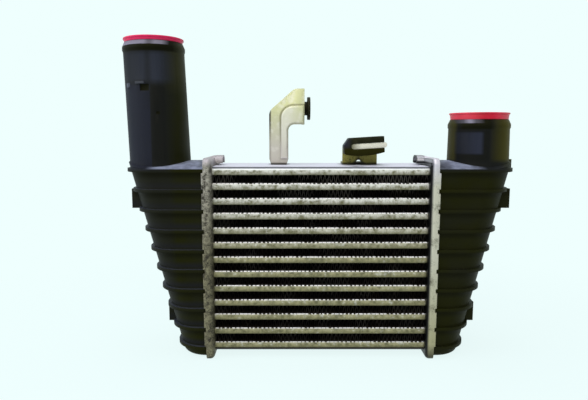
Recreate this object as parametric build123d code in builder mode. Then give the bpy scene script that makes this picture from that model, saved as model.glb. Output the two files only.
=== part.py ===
from build123d import *
from math import cos, radians, sin
import os

os.makedirs("parts", exist_ok=True)

# Driving dimensions, millimetres: X runs from left tank to right tank, Y into the core, Z up

# Core of flat tubes and folded fins
tube_count = 13
tube_height = 6.4
tube_depth = 62.0
tube_wall = 0.8
tube_edge_radius = 1.5
tube_stick_out = 1.6
core_width = 200.0
fin_height = 7.44
fin_set_back = 1.0
fin_folds = 51
fin_sheet = 0.3
side_plate_thickness = 1.4
side_plate_end_gap = 0.2

# Header trays
header_sheet = 1.8
header_side_margin = 8.0
header_reach = 7.4
header_end_margin = 9.2
header_corner_radius = 6.0
header_nose_radius = 4.2
slot_clearance = 0.1
crimp_clearance = 0.3
crimp_notch = 4.2
crimp_bend_radius = 1.2
tongue_width = 17.0
tongue_sheet = 1.8
tongue_rise = 1.6
tongue_height = 7.4
tongue_length = 6.8
tongue_blend = 1.6
tongue_round = 6.0

# End tanks
tank_wall = 2.8
tank_set_in = 4.5
tank_end_radius = 26.0
tank_top_reach = 77.0
left_tank_bottom_reach = 29.5
right_tank_bottom_reach = 32.8
tank_crown = 7.0
tank_shoulder_drop = 1.0
tank_bottom_radius = 4.0
tank_inner_bottom_radius = 1.2
foot_height = 4.0
foot_clearance = 0.3
gasket_thickness = 1.6
gasket_margin = 1.0
rib_count = 10
rib_pitch = 18.7
rib_thickness = 3.2
rib_height = 3.2
lug_width = 12.0
lug_offset = -6.0
left_upper_lug_reach = 5.2
left_lower_lug_reach = 2.6
right_upper_lug_reach = 7.2
right_lower_lug_reach = 4.6
peg_size = 6.0
peg_corner_radius = 1.2
peg_height = 9.0

# Hose stubs and transit caps
stub_base_radius = 28.9
stub_radius = 28.3
stub_wall = 3.4
stub_set_in = 26.2
left_stub_lean = 3.6
left_stub_top = 297.6
right_stub_top = 226.4
bead_radius = 29.0
bead_land = 3.0
bead_setback = 4.4
bead_step = 1.6
mouth_radius = 27.0
latch_angle = 15.8
latch_level = 259.4
latch_width = 8.8
latch_height = 1.8
latch_reach = 1.5
pocket_angle = 8.0
pocket_height = 6.4
pocket_depth = 1.2
knob_angle = 45.6
knob_level = 257.4
knob_width = 3.0
knob_height = 3.6
knob_reach = 1.3
gate_radius = 1.0
gate_depth = 0.8
gate_offset = -5.4
gate_level = 232.2
cap_clearance = 0.2
cap_wall = 1.6
cap_depth = 14.0
cap_end_gap = 2.0
cap_seat_inset = 0.4
cap_lip = 0.8
cap_rim_radius = 28.0
cap_rim = 1.5
left_cap_stand = 4.0
right_cap_stand = 6.4

# Tall bracket and its grommet
bracket_sheet = 2.5
bracket_face = 2.0
bracket_foot_centre = -39.4
bracket_foot_width = 15.0
bracket_foot_depth = 22.0
bracket_stem_width = 18.6
bracket_foot_height = 5.6
bracket_shoulder = 51.8
bracket_height = 73.3
bracket_arm = 25.0
bracket_arm_height = 34.2
bracket_arm_corner = 6.0
bracket_top_length = 9.6
bracket_bend_round = 9.0
bracket_band = 8.0
bracket_band_arm = 18.6
bracket_band_bend = 13.0
bracket_band_rise = 3.0
bracket_band_round = 2.8
bracket_flange = 27.0
grommet_rise = 15.7
grommet_neck_radius = 6.7
grommet_flange_radius = 11.2
grommet_flange = 3.1
grommet_neck = 2.8
grommet_back_radius = 9.0
grommet_back = 2.6
grommet_bore_radius = 4.0
grommet_clearance = 0.1

# Clip bracket and its rubber sleeve
clip_sheet = 2.4
clip_face = 4.0
clip_left = 23.0
clip_stem_width = 33.8
clip_foot_depth = 18.0
clip_arch_centre = 15.8
clip_arch_width = 5.0
clip_arch_height = 4.6
tongue_tilt = 3.5
clip_tongue_height = 19.8
clip_tongue_thickness = 5.2
clip_tongue_start = 7.2
clip_tongue_length = 34.0
clip_tongue_depth = 16.0
sleeve_top = 5.8
sleeve_bottom = 6.6
sleeve_side = 4.2
sleeve_nose = 4.2
sleeve_lean = 5.4
sleeve_length = 38.6
sleeve_front = 1.0
sleeve_round = 2.9

# Places worked out from the dimensions above
tube_pitch = tube_height + fin_height
fin_depth = tube_depth - 2 * fin_set_back
header_depth = tube_depth + 2 * header_side_margin
core_height = tube_pitch * (tube_count - 1) + tube_height
core_bottom = header_end_margin
core_top = core_bottom + core_height
core_middle = core_bottom + core_height / 2
header_height = core_height + 2 * header_end_margin
header_face = core_width / 2
plate_top = core_top + side_plate_thickness
tray_floor = header_face + header_sheet
foot_seat = tray_floor + gasket_thickness
foot_top = foot_seat + foot_height
tray_inside_depth = header_depth - 2 * header_sheet
tray_inside_height = header_height - 2 * header_sheet
foot_depth = tray_inside_depth - 2 * foot_clearance
foot_length = tray_inside_height - 2 * foot_clearance
tank_bottom = header_sheet + foot_clearance
tank_shoulder = core_top - tank_shoulder_drop
tank_half_depth = header_depth / 2 - tank_set_in
stub_centre = foot_seat + tank_top_reach - stub_set_in
first_rib = core_middle - rib_pitch * (rib_count - 1) / 2
stub_foot = first_rib + rib_pitch * (rib_count - 1)
stub_bore_radius = stub_radius - stub_wall
hairline = 0.01
peg_outer = stub_centre + left_stub_lean + bead_radius


def tube_level(row):
    return core_top - tube_height / 2 - tube_pitch * row


def rib_level(row):
    return first_rib + rib_pitch * row


def tank_slope(bottom_reach):
    return (tank_top_reach - bottom_reach) / (tank_shoulder - tank_bottom)


def tank_reach(level, bottom_reach):
    return foot_seat + bottom_reach + (level - tank_bottom) * tank_slope(bottom_reach)


def save(part, name):
    part.label = name
    export_step(part, f"parts/{name}.step")


# Flat tubes, drawn as one hollow section
for row in range(tube_count):
    with BuildPart() as tube:
        with BuildSketch(Plane.YZ):
            with Locations((0, tube_level(row))):
                RectangleRounded(tube_depth, tube_height, tube_edge_radius)
                Rectangle(tube_depth - 2 * tube_wall, tube_height - 2 * tube_wall, mode=Mode.SUBTRACT)
        extrude(amount=tray_floor + tube_stick_out, both=True)
    save(tube.part, f"tube_{row + 1:02d}")

# Folded fin strips: one zigzag sheet, set between each two tubes
fold_width = core_width / fin_folds
fold_rise = fin_sheet * ((fold_width / 2) ** 2 + fin_height**2) ** 0.5 / (fold_width / 2)
upper_side = []
lower_side = []
for crease in range(2 * fin_folds + 1):
    across = crease * fold_width / 2 - core_width / 2
    is_crest = crease % 2 == 1
    upper_side.append((across, fin_height if is_crest else fold_rise))
    lower_side.append((across, fin_height - fold_rise if is_crest else 0))
with BuildPart() as fin_strip:
    with BuildSketch(Plane.XZ):
        with BuildLine():
            Polyline(*upper_side, *reversed(lower_side), close=True)
        make_face()
    extrude(amount=fin_depth / 2, both=True)
for row in range(tube_count - 1):
    with BuildPart() as fin:
        with Locations((0, 0, tube_level(row + 1) + tube_height / 2)):
            add(fin_strip.part)
    save(fin.part, f"fin_{row + 1:02d}")

# Side plates that close the core above and below
plate_length = core_width - 2 * side_plate_end_gap
with BuildPart() as top_side_plate:
    with BuildSketch(Plane.XY.offset(core_top)):
        Rectangle(plate_length, tube_depth)
    extrude(amount=side_plate_thickness)
save(top_side_plate.part, "top_side_plate")

with BuildPart() as bottom_side_plate:
    with BuildSketch(Plane.XY.offset(core_bottom - side_plate_thickness)):
        Rectangle(plate_length, tube_depth)
    extrude(amount=side_plate_thickness)
save(bottom_side_plate.part, "bottom_side_plate")

# Curled tongue at the upper end of a header: a half round, open below and at its tip
tongue_tip = header_face - tongue_length
tongue_top = header_height + tongue_rise
tongue_bottom = tongue_top - tongue_height
tongue_root = header_face + header_sheet / 2
tongue_seat = header_height - header_sheet / 2
tongue_heel = header_face + header_nose_radius
with BuildPart() as curled_tongue:
    with BuildSketch(Plane.XZ):
        with BuildLine():
            Polyline(
                (tongue_tip, tongue_bottom),
                (tongue_tip, tongue_top),
                (header_face, tongue_top),
                (tongue_heel + tongue_blend, header_height),
                (tongue_heel, tongue_seat),
                (tongue_root, tongue_seat),
                (tongue_root, tongue_bottom),
                close=True,
            )
        make_face()
    extrude(amount=tongue_width / 2, both=True)
    with BuildSketch(Plane.YZ.offset(tongue_tip)):
        with Locations((0, (tongue_bottom + tongue_top) / 2)):
            Rectangle(tongue_width, tongue_height)
        fillet(vertices().group_by(Axis.Y)[-1], radius=tongue_round)
    extrude(amount=tongue_heel + tongue_blend - tongue_tip, mode=Mode.INTERSECT)
    with BuildSketch(Plane.YZ.offset(tongue_tip)):
        with Locations((0, (tongue_bottom + tongue_top - tongue_sheet) / 2)):
            Rectangle(tongue_width - 2 * tongue_sheet, tongue_height - tongue_sheet)
        fillet(vertices().group_by(Axis.Y)[-1], radius=tongue_round - tongue_sheet)
    extrude(amount=tongue_length, mode=Mode.SUBTRACT)

# Right header tray with tube slots, crimp tabs between the ribs and the curled tongue
tab_length = rib_pitch - crimp_notch
tab_outer = foot_top + header_sheet
tray_edge = header_face + header_reach
crimp_lip = tray_inside_depth / 2 - tank_half_depth - crimp_clearance
with BuildPart() as right_header_plate:
    with BuildSketch(Plane.YZ.offset(header_face)):
        with Locations((0, core_middle)):
            RectangleRounded(header_depth, header_height, header_corner_radius)
    extrude(amount=header_reach)
    nose_edges = right_header_plate.faces().sort_by(Axis.X)[0].edges().filter_by(Axis.Y)
    fillet(nose_edges, radius=header_nose_radius)
    with BuildSketch(Plane.YZ.offset(tray_floor)):
        with Locations((0, core_middle)):
            RectangleRounded(tray_inside_depth, tray_inside_height, header_corner_radius - header_sheet)
    extrude(amount=header_reach, mode=Mode.SUBTRACT)
    with BuildSketch(Plane.YZ.offset(header_face)):
        for row in range(tube_count):
            with Locations((0, tube_level(row))):
                RectangleRounded(
                    tube_depth + 2 * slot_clearance,
                    tube_height + 2 * slot_clearance,
                    tube_edge_radius + slot_clearance,
                )
    extrude(amount=header_sheet, mode=Mode.SUBTRACT)
    for row in range(rib_count - 1):
        with BuildSketch(Plane.XY.offset(rib_level(row) + crimp_notch / 2)):
            for side in (-1, 1):
                wall_middle = side * (header_depth - header_sheet) / 2
                lip_middle = side * (header_depth - header_sheet - crimp_lip) / 2
                with Locations(((tray_edge + tab_outer) / 2, wall_middle)):
                    Rectangle(tab_outer - tray_edge, header_sheet)
                with Locations((tab_outer - header_sheet / 2, lip_middle)):
                    Rectangle(header_sheet, header_sheet + crimp_lip)
            outer_corners = vertices().filter_by(
                lambda v: v.X > tab_outer - hairline and abs(v.Y) > header_depth / 2 - hairline
            )
            fillet(outer_corners, radius=crimp_bend_radius)
        extrude(amount=tab_length)
    add(curled_tongue.part)
save(right_header_plate.part, "right_header_plate")

with BuildPart() as left_header_plate:
    mirror(right_header_plate.part, about=Plane.YZ)
save(left_header_plate.part, "left_header_plate")

# Gaskets between tray floor and tank foot
gasket_opening_depth = 2 * (tank_half_depth - tank_wall)
gasket_opening_height = core_height + 2 * slot_clearance + 2 * gasket_margin
with BuildPart() as right_tank_gasket:
    with BuildSketch(Plane.YZ.offset(tray_floor)):
        with Locations((0, core_middle)):
            RectangleRounded(foot_depth, foot_length, header_corner_radius - header_sheet - foot_clearance)
            Rectangle(gasket_opening_depth, gasket_opening_height, mode=Mode.SUBTRACT)
    extrude(amount=gasket_thickness)
save(right_tank_gasket.part, "right_tank_gasket")

with BuildPart() as left_tank_gasket:
    mirror(right_tank_gasket.part, about=Plane.YZ)
save(left_tank_gasket.part, "left_tank_gasket")


def plan(level, near, reach, half_depth, end_radius):
    # Plan of a tank at one level: open end at the header, rounded corners at the outer end
    corner = reach - end_radius
    flat = half_depth - end_radius
    inward = end_radius * (1 - cos(radians(45)))
    with BuildSketch(Plane.XY.offset(level)) as outline:
        with BuildLine():
            Line((near, -half_depth), (corner, -half_depth))
            ThreePointArc((corner, -half_depth), (reach - inward, inward - half_depth), (reach, -flat))
            Line((reach, -flat), (reach, flat))
            ThreePointArc((reach, flat), (reach - inward, half_depth - inward), (corner, half_depth))
            Line((corner, half_depth), (near, half_depth))
            Line((near, half_depth), (near, -half_depth))
        make_face()
    return outline.sketch


def tank_form(inset, bottom_reach):
    # Plan drawn out along the slope of the outer wall, then cut to the arched end view
    half_depth = tank_half_depth - inset
    bottom = tank_bottom + inset
    eaves = tank_shoulder - inset
    roof = eaves + tank_crown
    slope = tank_slope(bottom_reach)
    near = foot_seat - (roof - bottom) * slope
    reach = tank_reach(bottom, bottom_reach) - inset
    floor_plan = plan(bottom, near, reach, half_depth, tank_end_radius - inset)
    with BuildPart() as form:
        rise = Vector(slope, 0, 1) * (roof - bottom)
        extrude(floor_plan, amount=rise.length, dir=rise)
        with BuildSketch(Plane.YZ.offset(foot_seat)):
            with BuildLine():
                Line((-half_depth, eaves), (-half_depth, bottom))
                Line((-half_depth, bottom), (half_depth, bottom))
                Line((half_depth, bottom), (half_depth, eaves))
                ThreePointArc((half_depth, eaves), (0, roof), (-half_depth, eaves))
            make_face()
        extrude(amount=2 * tank_top_reach, mode=Mode.INTERSECT)
        floor_edges = form.faces().sort_by(Axis.Z)[0].edges()
        rim_edges = floor_edges.filter_by(lambda edge: edge.center().X > foot_seat + hairline)
        fillet(rim_edges, radius=tank_inner_bottom_radius if inset else tank_bottom_radius)
    return form.part


def make_stub(stub_top, top_centre):
    # Solid hose stub: a leaning cone, then the bead and the bevelled mouth
    bead_top = stub_top - bead_setback
    bead_bottom = bead_top - bead_land
    neck_top = bead_bottom - 2 * bead_step
    foot_point = Vector(stub_centre, 0, stub_foot)
    neck_point = Vector(top_centre, 0, bead_bottom)
    lean = neck_point - foot_point
    with BuildPart() as stub:
        with BuildSketch(Plane(foot_point, x_dir=(0, 1, 0), z_dir=lean)):
            Circle(stub_base_radius)
        with BuildSketch(Plane(neck_point, x_dir=(0, 1, 0), z_dir=lean)):
            Circle(stub_radius)
        loft(ruled=True)
        with BuildSketch(Plane.XZ.move(Location((top_centre, 0, 0)))):
            with BuildLine():
                Polyline(
                    (0, neck_top),
                    (2 * stub_radius - bead_radius, neck_top),
                    (bead_radius, bead_bottom),
                    (bead_radius, bead_top),
                    (mouth_radius, stub_top),
                    (0, stub_top),
                    close=True,
                )
            make_face()
        revolve(axis=Axis((top_centre, 0, 0), (0, 0, 1)))
    return stub.part


def make_bore(stub_top, top_centre):
    # Air passage of a stub, straight where the cap sits
    foot_point = Vector(stub_centre, 0, stub_foot - tank_wall)
    neck_point = Vector(top_centre, 0, stub_top - cap_depth)
    lean = neck_point - foot_point
    with BuildPart() as bore:
        with BuildSketch(Plane(foot_point, x_dir=(0, 1, 0), z_dir=(0, 0, 1))):
            Circle(stub_bore_radius)
        extrude(amount=lean.length, dir=lean)
        with BuildSketch(Plane(neck_point, x_dir=(0, 1, 0), z_dir=(0, 0, 1))):
            Circle(stub_bore_radius)
        extrude(amount=cap_depth)
    return bore.part


def stub_side(angle, level):
    # Upright plane through the axis of the leaning stub, turned outwards from the front
    lean_here = left_stub_lean * (level - stub_foot) / (left_stub_top - stub_foot)
    turn = radians(angle)
    across = (cos(turn), sin(turn), 0)
    outwards = (sin(turn), -cos(turn), 0)
    return Plane((stub_centre + lean_here, 0, level), x_dir=across, z_dir=outwards)


def make_tank(stub_top, stub_lean, bottom_reach, lower_lug_reach, upper_lug_reach, is_left):
    shell = tank_form(0, bottom_reach)
    hollow = tank_form(tank_wall, bottom_reach)
    stub = make_stub(stub_top, stub_centre + stub_lean)
    bore = make_bore(stub_top, stub_centre + stub_lean)
    rib_sections = []
    for row in range(rib_count):
        level = rib_level(row) - rib_thickness / 2
        rib_reach = tank_reach(rib_level(row), bottom_reach) + rib_height
        rib_half_depth = tank_half_depth + rib_height
        rib_sections.append(plan(level, foot_top, rib_reach, rib_half_depth, tank_end_radius + rib_height))
    with BuildPart() as tank:
        add(shell)
        with BuildSketch(Plane.YZ.offset(foot_seat)):
            with Locations((0, core_middle)):
                RectangleRounded(foot_depth, foot_length, header_corner_radius - header_sheet - foot_clearance)
        extrude(amount=foot_height)
        for section in rib_sections:
            extrude(section, amount=rib_thickness)
        for lower_rib, lug_reach in ((1, lower_lug_reach), (rib_count - 3, upper_lug_reach)):
            outer = tank_reach(rib_level(lower_rib + 1), bottom_reach) + lug_reach
            inner = tank_reach(rib_level(lower_rib), bottom_reach) - tank_wall
            with BuildSketch(Plane.XY.offset(rib_level(lower_rib))):
                with Locations(((inner + outer) / 2, lug_offset)):
                    Rectangle(outer - inner, lug_width)
            extrude(amount=rib_pitch)
        add(stub)
        if is_left:
            pocket_level = latch_level - (latch_height + pocket_height) / 2
            with BuildSketch(stub_side(pocket_angle, pocket_level).offset(stub_radius - pocket_depth)):
                Rectangle(latch_width, pocket_height)
            extrude(amount=bead_radius, mode=Mode.SUBTRACT)
            with BuildSketch(stub_side(latch_angle, latch_level).offset(stub_bore_radius + hairline)):
                Rectangle(latch_width, latch_height)
            extrude(amount=stub_wall + latch_reach)
            with BuildSketch(stub_side(knob_angle, knob_level).offset(stub_bore_radius + hairline)):
                Rectangle(knob_width, knob_height)
            extrude(amount=stub_wall + knob_reach)
            with BuildSketch(Plane.XZ.offset(stub_radius - gate_depth)):
                with Locations((stub_centre + gate_offset, gate_level)):
                    Circle(gate_radius)
            extrude(amount=bead_radius, mode=Mode.SUBTRACT)
        else:
            with BuildSketch(Plane.XY.offset(stub_foot)):
                with Locations((peg_outer - peg_size / 2, 0)):
                    RectangleRounded(peg_size, peg_size, peg_corner_radius)
            extrude(amount=peg_height)
        add(hollow, mode=Mode.SUBTRACT)
        add(bore, mode=Mode.SUBTRACT)
    return tank.part


# End tanks: the left one has the tall stub that leans outwards
right_tank_solid = make_tank(
    right_stub_top, 0, right_tank_bottom_reach, right_lower_lug_reach, right_upper_lug_reach, False
)
with BuildPart() as right_end_tank:
    add(right_tank_solid)
save(right_end_tank.part, "right_end_tank")

left_tank_solid = make_tank(
    left_stub_top, left_stub_lean, left_tank_bottom_reach, left_lower_lug_reach, left_upper_lug_reach, True
)
with BuildPart() as left_end_tank:
    mirror(left_tank_solid, about=Plane.YZ)
save(left_end_tank.part, "left_end_tank")


def make_cap(centre, stub_top, stand):
    # Thin plug with a flared rim that sits on the mouth of the stub
    plug_radius = stub_bore_radius - cap_clearance
    plug_bottom = stub_top - cap_depth + cap_end_gap
    rim_top = stub_top + stand
    with BuildPart() as cap:
        with BuildSketch(Plane.XZ.move(Location((centre, 0, 0)))):
            with BuildLine():
                Polyline(
                    (0, plug_bottom),
                    (plug_radius - cap_wall, plug_bottom),
                    (plug_radius, plug_bottom + cap_wall),
                    (plug_radius, stub_top),
                    (mouth_radius - cap_seat_inset, stub_top),
                    (cap_rim_radius - cap_lip, rim_top - cap_rim),
                    (cap_rim_radius, rim_top - cap_rim),
                    (cap_rim_radius, rim_top),
                    (cap_rim_radius - 2 * cap_wall, rim_top),
                    (plug_radius - cap_wall, stub_top),
                    (plug_radius - cap_wall, plug_bottom + cap_wall),
                    (0, plug_bottom + cap_wall),
                    close=True,
                )
            make_face()
        revolve(axis=Axis((centre, 0, 0), (0, 0, 1)))
    return cap.part


# Red transit caps
save(make_cap(-stub_centre - left_stub_lean, left_stub_top, left_cap_stand), "left_transit_cap")
save(make_cap(stub_centre, right_stub_top, right_cap_stand), "right_transit_cap")

# Tall bracket: pressed web with a raised band, turned foot and an end flange for the grommet
stem_left = bracket_foot_centre - bracket_stem_width / 2
stem_right = bracket_foot_centre + bracket_stem_width / 2
foot_left = bracket_foot_centre - bracket_foot_width / 2
foot_right = bracket_foot_centre + bracket_foot_width / 2
arm_end = bracket_foot_centre + bracket_arm
stem_start = plate_top + bracket_foot_height
shoulder = plate_top + bracket_shoulder
bracket_top = plate_top + bracket_height
arm_bottom = bracket_top - bracket_arm_height
band_left = stem_right - bracket_band
band_top = arm_bottom + bracket_band_arm
grommet_level = arm_bottom + grommet_rise
grommet_depth = bracket_face + bracket_flange / 2
with BuildPart() as tall_bracket:
    with BuildSketch(Plane.XZ.offset(-bracket_face)):
        with BuildLine():
            Polyline(
                (stem_right, arm_bottom - bracket_arm_corner),
                (stem_right, stem_start),
                (foot_right, plate_top),
                (foot_left, plate_top),
                (stem_left, stem_start),
                (stem_left, shoulder),
                (arm_end - bracket_top_length, bracket_top),
                (arm_end, bracket_top),
                (arm_end, arm_bottom),
                (stem_right + bracket_arm_corner, arm_bottom),
            )
            RadiusArc(
                (stem_right + bracket_arm_corner, arm_bottom),
                (stem_right, arm_bottom - bracket_arm_corner),
                -bracket_arm_corner,
            )
        make_face()
        fillet(vertices().group_by(Axis.X)[0].sort_by(Axis.Y)[-1], radius=bracket_bend_round)
        fillet(vertices().group_by(Axis.Y)[-1].sort_by(Axis.X)[0], radius=bracket_bend_round)
    extrude(amount=-bracket_sheet)
    with BuildSketch(Plane.XZ.offset(-bracket_face)):
        with BuildLine():
            Polyline(
                (stem_right, arm_bottom - bracket_arm_corner),
                (stem_right, stem_start),
                (band_left, stem_start),
                (band_left, band_top - bracket_band_bend),
            )
            RadiusArc(
                (band_left, band_top - bracket_band_bend),
                (band_left + bracket_band_bend, band_top),
                bracket_band_bend,
            )
            Polyline(
                (band_left + bracket_band_bend, band_top),
                (arm_end, band_top),
                (arm_end, arm_bottom),
                (stem_right + bracket_arm_corner, arm_bottom),
            )
            RadiusArc(
                (stem_right + bracket_arm_corner, arm_bottom),
                (stem_right, arm_bottom - bracket_arm_corner),
                -bracket_arm_corner,
            )
        make_face()
    extrude(amount=bracket_band_rise)
    fillet(tall_bracket.faces().sort_by(Axis.Y)[0].edges(), radius=bracket_band_round)
    with BuildSketch(Plane.YZ.offset(arm_end - bracket_sheet)):
        with Locations((grommet_depth, (arm_bottom + bracket_top) / 2)):
            Rectangle(bracket_flange, bracket_arm_height)
        with Locations((grommet_depth, grommet_level)):
            Circle(grommet_neck_radius + grommet_clearance, mode=Mode.SUBTRACT)
    extrude(amount=bracket_sheet)
    with BuildSketch(Plane.XY.offset(plate_top)):
        with Locations((bracket_foot_centre, bracket_face + bracket_foot_depth / 2)):
            Rectangle(bracket_foot_width, bracket_foot_depth)
    extrude(amount=bracket_sheet)
save(tall_bracket.part, "tall_bracket")

# Grommet clipped into the end flange, bored for the pin it hangs on
flange_back = arm_end - bracket_sheet - grommet_back
collar = arm_end + grommet_neck
with BuildPart() as bracket_grommet:
    for start, end, radius in (
        (flange_back, arm_end - bracket_sheet, grommet_back_radius),
        (arm_end - bracket_sheet, collar, grommet_neck_radius),
        (collar, collar + grommet_flange, grommet_flange_radius),
    ):
        with BuildSketch(Plane.YZ.offset(start)):
            with Locations((grommet_depth, grommet_level)):
                Circle(radius)
                Circle(grommet_bore_radius, mode=Mode.SUBTRACT)
        extrude(amount=end - start)
save(bracket_grommet.part, "bracket_grommet")

# Clip bracket: folded stem with a mouse hole, a foot and a thick tongue that tilts up to the right
tongue_bottom = plate_top + clip_tongue_height - clip_tongue_thickness
stem_back = clip_face + clip_sheet
clip_middle = clip_left + clip_stem_width / 2
tilted = Plane(
    origin=(clip_left, clip_face, tongue_bottom),
    x_dir=(cos(radians(tongue_tilt)), 0, sin(radians(tongue_tilt))),
    z_dir=(0, -1, 0),
)
with BuildPart() as clip_bracket:
    with BuildSketch(Plane.XZ.offset(-clip_face)):
        with Locations((clip_middle, (plate_top + tongue_bottom + clip_tongue_thickness / 2) / 2)):
            Rectangle(clip_stem_width, tongue_bottom + clip_tongue_thickness / 2 - plate_top)
        with Locations((clip_left + clip_arch_centre, plate_top)):
            SlotOverall(2 * clip_arch_height, clip_arch_width, rotation=90, mode=Mode.SUBTRACT)
    extrude(amount=-clip_sheet)
    with BuildSketch(Plane.XY.offset(plate_top)):
        with Locations((clip_middle, stem_back + clip_foot_depth / 2)):
            Rectangle(clip_stem_width, clip_foot_depth)
    extrude(amount=clip_sheet)
    with BuildSketch(tilted.offset(clip_tongue_depth)):
        with Locations((clip_tongue_start + clip_tongue_length / 2, clip_tongue_thickness / 2)):
            SlotOverall(clip_tongue_length, clip_tongue_thickness)
    extrude(amount=-clip_tongue_depth - clip_sheet)
save(clip_bracket.part, "clip_bracket")

# Rubber sleeve, a U that is pushed over the tongue from the left
sleeve_ceiling = clip_tongue_thickness + sleeve_top
with BuildPart() as clip_rubber_sleeve:
    with BuildSketch(tilted):
        with BuildLine():
            Polyline(
                (0, -sleeve_side),
                (0, sleeve_nose),
                (sleeve_lean, sleeve_ceiling),
                (sleeve_length, sleeve_ceiling),
                (sleeve_length, -sleeve_side),
            )
            ThreePointArc(
                (sleeve_length, -sleeve_side),
                (sleeve_length / 2, -sleeve_bottom),
                (0, -sleeve_side),
            )
        make_face()
        fillet(vertices().group_by(Axis.X)[0], radius=sleeve_round)
        with Locations((clip_tongue_start + sleeve_length, clip_tongue_thickness / 2)):
            SlotOverall(2 * sleeve_length, clip_tongue_thickness, mode=Mode.SUBTRACT)
    extrude(amount=clip_tongue_depth + sleeve_front)
save(clip_rubber_sleeve.part, "clip_rubber_sleeve")
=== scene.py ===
import math
from types import SimpleNamespace

import bpy
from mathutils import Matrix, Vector


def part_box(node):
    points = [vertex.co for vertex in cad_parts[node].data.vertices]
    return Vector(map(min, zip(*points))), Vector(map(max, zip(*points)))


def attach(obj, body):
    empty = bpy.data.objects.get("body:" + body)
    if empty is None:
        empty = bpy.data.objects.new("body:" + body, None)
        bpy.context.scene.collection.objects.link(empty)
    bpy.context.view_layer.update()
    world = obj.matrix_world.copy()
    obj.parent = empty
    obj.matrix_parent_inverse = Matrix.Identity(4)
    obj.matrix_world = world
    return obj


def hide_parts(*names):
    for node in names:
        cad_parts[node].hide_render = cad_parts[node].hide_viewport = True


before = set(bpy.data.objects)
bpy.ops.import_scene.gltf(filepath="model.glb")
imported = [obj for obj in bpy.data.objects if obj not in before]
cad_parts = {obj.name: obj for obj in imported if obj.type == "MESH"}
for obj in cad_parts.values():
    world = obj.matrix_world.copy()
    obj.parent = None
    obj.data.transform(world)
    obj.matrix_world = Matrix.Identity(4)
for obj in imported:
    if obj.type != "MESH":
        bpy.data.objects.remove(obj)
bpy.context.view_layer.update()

# Places in metres that the finishes are laid out by
plate_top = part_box("top_side_plate")[1][2]
core_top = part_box("tube_01")[1][2]
fin_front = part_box("fin_01")[1][1]
left_stub_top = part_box("left_end_tank")[1][2]
right_stub_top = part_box("right_end_tank")[1][2]
bracket_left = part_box("tall_bracket")[0][0]
clip_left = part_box("clip_bracket")[0][0]
clip_hole = clip_left + 0.0158
shoulder = plate_top - 0.002
stub_middle = 0.155
first_rib = 0.01129
rib_pitch = 0.0187

# How copies of CAD nodes are cleaned: metres, and degrees
weld_distance = 0.000004
flat_angle = 0.4
smooth_angle = 38

# Stage in metres: each lamp has a place, a size, watts and a tint
floor_width = 12
lamps_aim = Vector((0, 0, 0.13))
lamps = (
    ("window", (-1.5, -0.6, 0.9), 1.3, 15, "#e4ebff"),
    ("ceiling", (-0.05, 0.0, 1.5), 0.8, 8, "#f6f8ff"),
    ("front", (-0.2, -1.5, 1.5), 1.0, 14, "#fffaf0"),
)

# The photograph's camera, 49 cm in front of the core's face: its place in metres, how many degrees
# it is tipped down, its sensor in millimetres, and its focal length and picture width in pixels
camera_place = (-0.0246, -0.51795, 0.2139)
camera_tilt = 7.212
sensor_width = 36
focal_pixels = 530
picture_width = 588

bl_info = {
    "name": "Charge-air cooler",
    "version": (1, 0, 0),
    "blender": (4, 5, 0),
    "location": "View3D > Sidebar > Cooler",
    "description": "Shapes and finishes for a tube-and-fin charge-air cooler",
    "category": "Object",
}


def linear(code):
    """An sRGB hex colour as linear red, green, blue and full alpha"""
    shares = [int(code[place : place + 2], 16) / 255 for place in (1, 3, 5)]
    curved = [share / 12.92 if share <= 0.04045 else ((share + 0.055) / 1.055) ** 2.4 for share in shares]
    return curved + [1.0]


def colour(name, description, code):
    return bpy.props.FloatVectorProperty(
        name=name, description=description, subtype="COLOR", size=4, min=0, max=1, default=linear(code)
    )


def length(name, description, millimetres):
    return bpy.props.FloatProperty(
        name=name, description=description, unit="LENGTH", precision=5, default=millimetres / 1000
    )


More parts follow.
